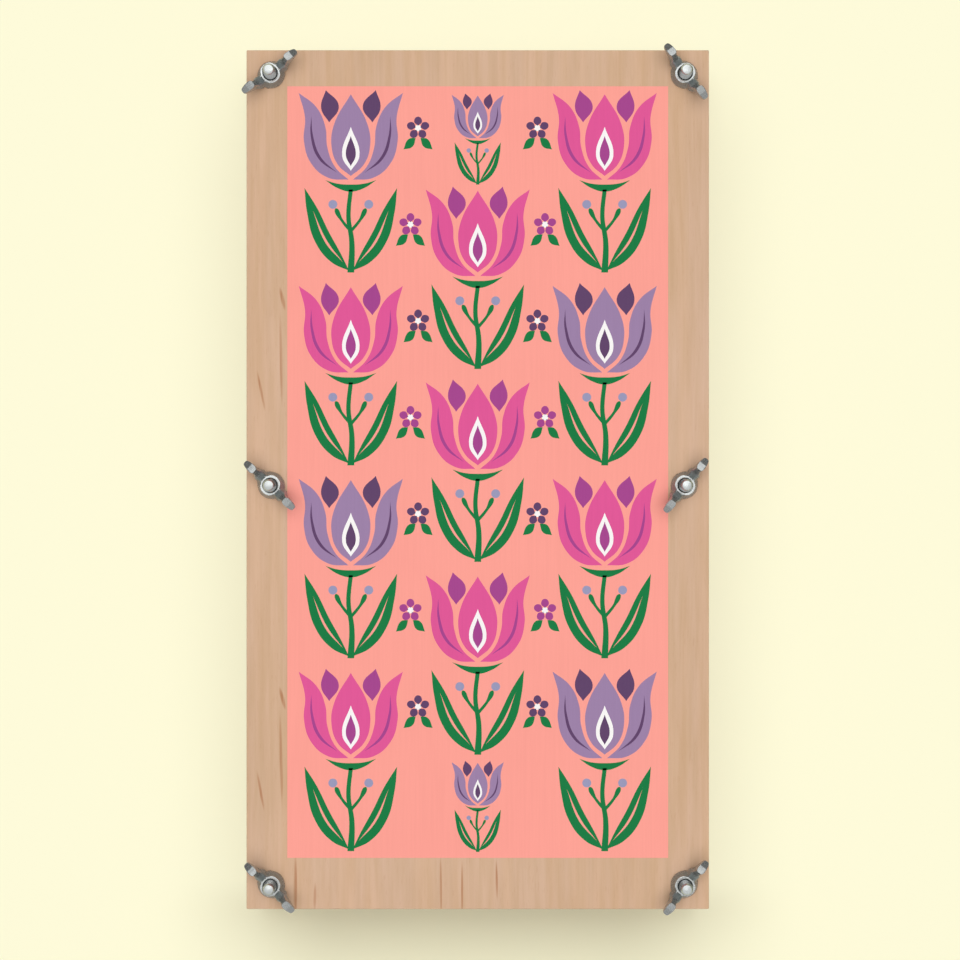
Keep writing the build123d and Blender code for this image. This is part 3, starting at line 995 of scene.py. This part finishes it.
def ink(name, colour):
    """A matt ink that lets a little of the grain beneath it show."""
    material, tree, shader = new_material(name)
    spot = add(tree, "ShaderNodeTexCoord").outputs["Object"]
    beneath = group_node(tree, grain, {"Vector": spot})
    clouds = group_node(tree, mottle, {"Vector": spot, "Coarse": 40.0, "Fine": 1800.0})
    tone = mixed_tone(tree, beneath["Fibres"], INK_FIBRE_SHARE, clouds["Clouds"], INK_CLOUD_SHARE)
    thin = [THIN_INK * channel for channel in colour[:3]] + [1]
    full = [min(1.0, FULL_INK * channel + INK_WHITE) for channel in colour[:3]] + [1]
    tree.links.new(blend(tree, tone, thin, full), shader.inputs["Base Color"])
    rough = spread(tree, clouds["Specks"], 0.0, 1.0, *INK_ROUGHNESS)
    tree.links.new(rough, shader.inputs["Roughness"])
    tree.links.new(bump(tree, beneath["Fibres"], *INK_RELIEF), shader.inputs["Normal"])
    shader.inputs["Specular IOR Level"].default_value = INK_GLOSS
    return material


INKS = {
    "salmon": ink("salmon_ink", paint(254, 161, 148)),
    "green": ink("green_ink", paint(2, 121, 62)),
    "pink": ink("pink_ink", paint(225, 85, 150)),
    "lilac": ink("lilac_ink", paint(156, 128, 167)),
    "plum": ink("plum_ink", paint(165, 66, 141)),
    "purple": ink("purple_ink", paint(95, 64, 104)),
    "pale": ink("pale_lilac_ink", paint(153, 152, 185)),
    "white": ink("white_ink", paint(250, 247, 245)),
}
finish_node("printed_panel", INKS["salmon"])
print("inks:", list(INKS))

# %% Helpers for shapes in ink
film_low, film_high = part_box("printed_panel")
INK_FILM = 0.03 * MM
CURVE_STEPS = 8


def ink_shape(name, points, corners, layer=0):
    """A flat closed film through a few points in mm, smooth but for the numbered corners."""
    let_go()
    bpy.ops.curve.primitive_bezier_curve_add()
    shape = bpy.context.object
    shape.name = name
    bpy.ops.object.mode_set(mode="EDIT")
    bpy.ops.curve.select_all(action="SELECT")
    bpy.ops.curve.delete(type="VERT")
    for x, y in points:
        bpy.ops.curve.vertex_add(location=(x * MM, y * MM, 0))
    bpy.ops.curve.cyclic_toggle()
    bpy.ops.curve.select_all(action="SELECT")
    bpy.ops.curve.handle_type_set(type="AUTOMATIC")
    bpy.ops.curve.select_all(action="DESELECT")
    for number in corners:
        point = shape.data.splines[0].bezier_points[number]
        point.select_control_point = True
        point.select_left_handle = True
        point.select_right_handle = True
    if corners:
        bpy.ops.curve.handle_type_set(type="VECTOR")
    bpy.ops.object.mode_set(mode="OBJECT")
    shape.data.dimensions = "2D"
    shape.data.fill_mode = "BOTH"
    shape.data.resolution_u = CURVE_STEPS
    bpy.ops.object.convert(target="MESH")
    shape.location.z = film_high.z + layer * INK_FILM
    bpy.ops.object.transform_apply(location=True)
    bpy.ops.object.modifier_add(type="SOLIDIFY")
    film = shape.modifiers[-1]
    film.thickness = INK_FILM
    film.offset = 1
    bpy.ops.object.modifier_apply(modifier=film.name)
    return shape


def both_sides(name, points, corners, layer=0):
    """A shape and its mirror image on the other side of the stem, joined."""
    mirrored = [(-x, y) for x, y in points]
    pair = [ink_shape(name, points, corners, layer), ink_shape(name, mirrored, corners, layer)]
    return join_pieces(name, pair)


print("panel in mm:", [round(side / MM, 2) for side in film_high - film_low])

# %% Draw the shapes of a sprig
SIDE_PETAL = [(0.9, 0.2), (8.6, 0.9), (15.2, 6.4), (18.0, 15.0), (17.6, 24.0), (20.0, 33.5), (13.2, 28.0),
              (9.8, 20.5), (9.0, 12.5), (6.0, 5.0)]
MIDDLE_PETAL = [(0, 1.6), (5.0, 6.0), (7.4, 13.0), (6.4, 21.5), (0, 33.0), (-6.4, 21.5), (-7.4, 13.0),
                (-5.0, 6.0)]
BACK_PETAL = [(8.3, 22.2), (11.4, 27.6), (9.6, 34.6), (4.6, 28.4)]
PETAL_LINE = [(5.2, 2.8), (12.4, 8.2), (15.4, 17.0), (15.2, 24.6), (14.5, 17.0), (11.6, 9.0)]
WHITE_FLAME = [(0, 3.6), (3.3, 9.2), (0, 20.5), (-3.3, 9.2)]
DARK_FLAME = [(0, 5.4), (1.9, 9.6), (0, 17.0), (-1.9, 9.6)]
CUP = [(0, -4.4), (5.0, -3.1), (9.8, 0.0), (5.4, -1.3), (0, -1.7), (-5.4, -1.3), (-9.8, 0.0), (-5.0, -3.1)]
STEM = [(-0.8, -3.6), (-1.75, -14), (-0.6, -24), (-1.3, -35.5), (1.3, -35.5), (1.4, -24), (-0.05, -14),
        (0.8, -3.6)]
LEAF = [(0.7, -34.8), (7.5, -31.5), (13.8, -23.5), (16.8, -12.5), (17.8, -3.0), (12.8, -11.0), (8.4, -20.0),
        (4.0, -28.0)]
LEAF_LINE = [(3.0, -31.6), (9.8, -24.0), (14.6, -11.6), (9.1, -23.4)]
STALK = [(0.1, -18.6), (3.0, -15.2), (5.6, -10.8), (6.2, -11.4), (3.7, -16.0), (0.3, -20.2)]
BERRY = [(6.9, -7.6), (8.6, -9.3), (6.9, -11.0), (5.2, -9.3)]
ROSETTE_PETAL = [(0, 0.9), (1.5, 2.6), (0, 4.4), (-1.5, 2.6)]
ROSETTE_EYE = [(0, 1.2), (1.2, 0), (0, -1.2), (-1.2, 0)]
LEAFLET = [(0.9, -3.8), (3.6, -4.2), (5.6, -8.2), (2.2, -7.2)]
# leaves and stalks overlap the stem, so they lie a share of a film higher
OVERLAP_LAYER = 0.4
print("points of the stem:", len(STEM), "of a leaf:", len(LEAF), "of a side petal:", len(SIDE_PETAL))

# %% Print the shapes of a sprig
sprig_green = join_pieces("sprig_green", [
    ink_shape("stem", STEM, (0, 3, 4, 7)),
    ink_shape("cup", CUP, (2, 6)),
    both_sides("leaves", LEAF, (0, 4), OVERLAP_LAYER),
    both_sides("stalks", STALK, (0, 5), OVERLAP_LAYER),
])
sprig_petals = join_pieces("sprig_petals", [
    both_sides("side_petals", SIDE_PETAL, (0, 5)),
    ink_shape("middle_petal", MIDDLE_PETAL, (0, 4)),
])
sprig_depths = join_pieces("sprig_depths", [
    both_sides("back_petals", BACK_PETAL, (0, 2)),
    both_sides("petal_lines", PETAL_LINE, (0, 3), 1),
    ink_shape("dark_flame", DARK_FLAME, (0, 2), 2),
])
sprig_flame = ink_shape("sprig_flame", WHITE_FLAME, (0, 2), 1)
sprig_berries = both_sides("sprig_berries", BERRY, ())
sprig_lines = both_sides("sprig_leaf_lines", LEAF_LINE, (0, 2), 1)
rosette_eye = ink_shape("rosette_eye", ROSETTE_EYE, ())
leaflets = both_sides("leaflets", LEAFLET, (0, 2))
print("sprig in mm:", [round(side / MM, 1) for side in sprig_green.dimensions])

# %% Turn one petal into a rosette
ROSETTE_PETALS = 5
rosette_petals = ink_shape("rosette_petals", ROSETTE_PETAL, (0,))
for number in range(1, ROSETTE_PETALS):
    petal = ink_shape("rosette_petal", ROSETTE_PETAL, (0,))
    petal.rotation_euler.z = 2 * math.pi * number / ROSETTE_PETALS
    bpy.ops.object.transform_apply(rotation=True)
    rosette_petals = join_pieces("rosette_petals", [rosette_petals, petal])
print("rosette petals:", ROSETTE_PETALS)

# %% Helpers for the repeat
film_middle = (film_low + film_high) / 2
COLUMNS = 3
ROWS = 4
column_step = (film_high.x - film_low.x) / COLUMNS
row_step = (film_high.y - film_low.y) / ROWS
inked = {name: [] for name in INKS}


def lay(pattern, colour, x, y, size=1.0):
    """Copies a shape to its place in the repeat, in one ink."""
    copy = copy_of(pattern)
    copy.location = (x, y, 0)
    copy.scale = (size, size, 1)
    bpy.ops.object.transform_apply(location=True, scale=True)
    inked[colour].append(copy)


def lay_sprig(x, y, bloom_inks, size=1.0):
    """One whole sprig, with one ink for its petals and one for their depths."""
    petal_ink, depth_ink = bloom_inks
    lay(sprig_green, "green", x, y, size)
    lay(sprig_petals, petal_ink, x, y, size)
    lay(sprig_depths, depth_ink, x, y, size)
    lay(sprig_flame, "white", x, y, size)
    lay(sprig_berries, "pale", x, y, size)
    lay(sprig_lines, "salmon", x, y, size)


def lay_rosette(x, y, petal_ink):
    """One rosette between two leaflets."""
    lay(rosette_petals, petal_ink, x, y)
    lay(rosette_eye, "white", x, y)
    lay(leaflets, "green", x, y)


print("columns and rows in mm:", round(column_step / MM, 2), round(row_step / MM, 2))

# %% Lay the repeat
PINK_BLOOM = ("pink", "plum")
LILAC_BLOOM = ("lilac", "purple")
SPRIG_RISE = 1.0 * MM
SMALL_SPRIG = 0.5
# places of the rosettes and the small sprigs, as shares of a column and of a row
OUTER_ROSETTE_SHARE = 0.47
INNER_ROSETTE_SHARE = 0.53
ROSETTE_RISE_SHARE = 0.27
SMALL_SPRIG_INSET_SHARE = 0.27

rosette_rise = ROSETTE_RISE_SHARE * row_step
for row in range(ROWS):
    y = film_middle.y + (row - (ROWS - 1) / 2) * row_step + SPRIG_RISE
    lilac_side = -1 if row % 2 else 1
    for side in (-1, 1):
        lay_sprig(side * column_step, y, LILAC_BLOOM if side == lilac_side else PINK_BLOOM)
        lay_rosette(side * OUTER_ROSETTE_SHARE * column_step, y + rosette_rise, "purple")
for row in range(ROWS - 1):
    y = film_middle.y + (row - (ROWS - 2) / 2) * row_step + SPRIG_RISE
    lay_sprig(0, y, PINK_BLOOM)
    for side in (-1, 1):
        lay_rosette(side * INNER_ROSETTE_SHARE * column_step, y + rosette_rise, "plum")
for side in (-1, 1):
    y = film_middle.y + side * (ROWS / 2 - SMALL_SPRIG_INSET_SHARE) * row_step
    lay_sprig(0, y, LILAC_BLOOM, SMALL_SPRIG)
for pattern in (sprig_green, sprig_petals, sprig_depths, sprig_flame, sprig_berries, sprig_lines,
                rosette_petals, rosette_eye, leaflets):
    bpy.data.objects.remove(pattern)
print("shapes laid:", sum(len(shapes) for shapes in inked.values()))

# %% Join the shapes of each ink
for colour, shapes in inked.items():
    piece = join_pieces(f"print_{colour}", shapes)
    edit_all()
    face_outwards()
    let_go()
    piece.data.materials.clear()
    piece.data.materials.append(INKS[colour])
    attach(piece, "lid")
    print(piece.name, "faces:", len(piece.data.polygons))

# %% [markdown]
# ## Point the lamps
# Now that every piece exists, each lamp gets a collection of the objects that it lights. Everything still
# casts shadows. Without this, one lamp would have to suit the wood, the metal and the floor alike.

# %% Link each lamp to what it lights
def light_only(lamp, pieces):
    """Limits a lamp to some of the objects."""
    lit = bpy.data.collections.new(f"{lamp.name}_lights")
    for piece in pieces:
        lit.objects.link(piece)
    lamp.light_linking.receiver_collection = lit
    print(lamp.name, "lights", len(pieces), "objects")


hardware = [*bolts, *nuts]
meshes = [piece for piece in bpy.data.objects if piece.type == "MESH"]
boards_sheets_and_print = [piece for piece in meshes if piece not in (floor, *hardware)]
light_only(board_lamp, boards_sheets_and_print)
light_only(shadow_lamp, [floor])
light_only(metal_back_lamp, hardware)
light_only(metal_front_lamp, hardware)
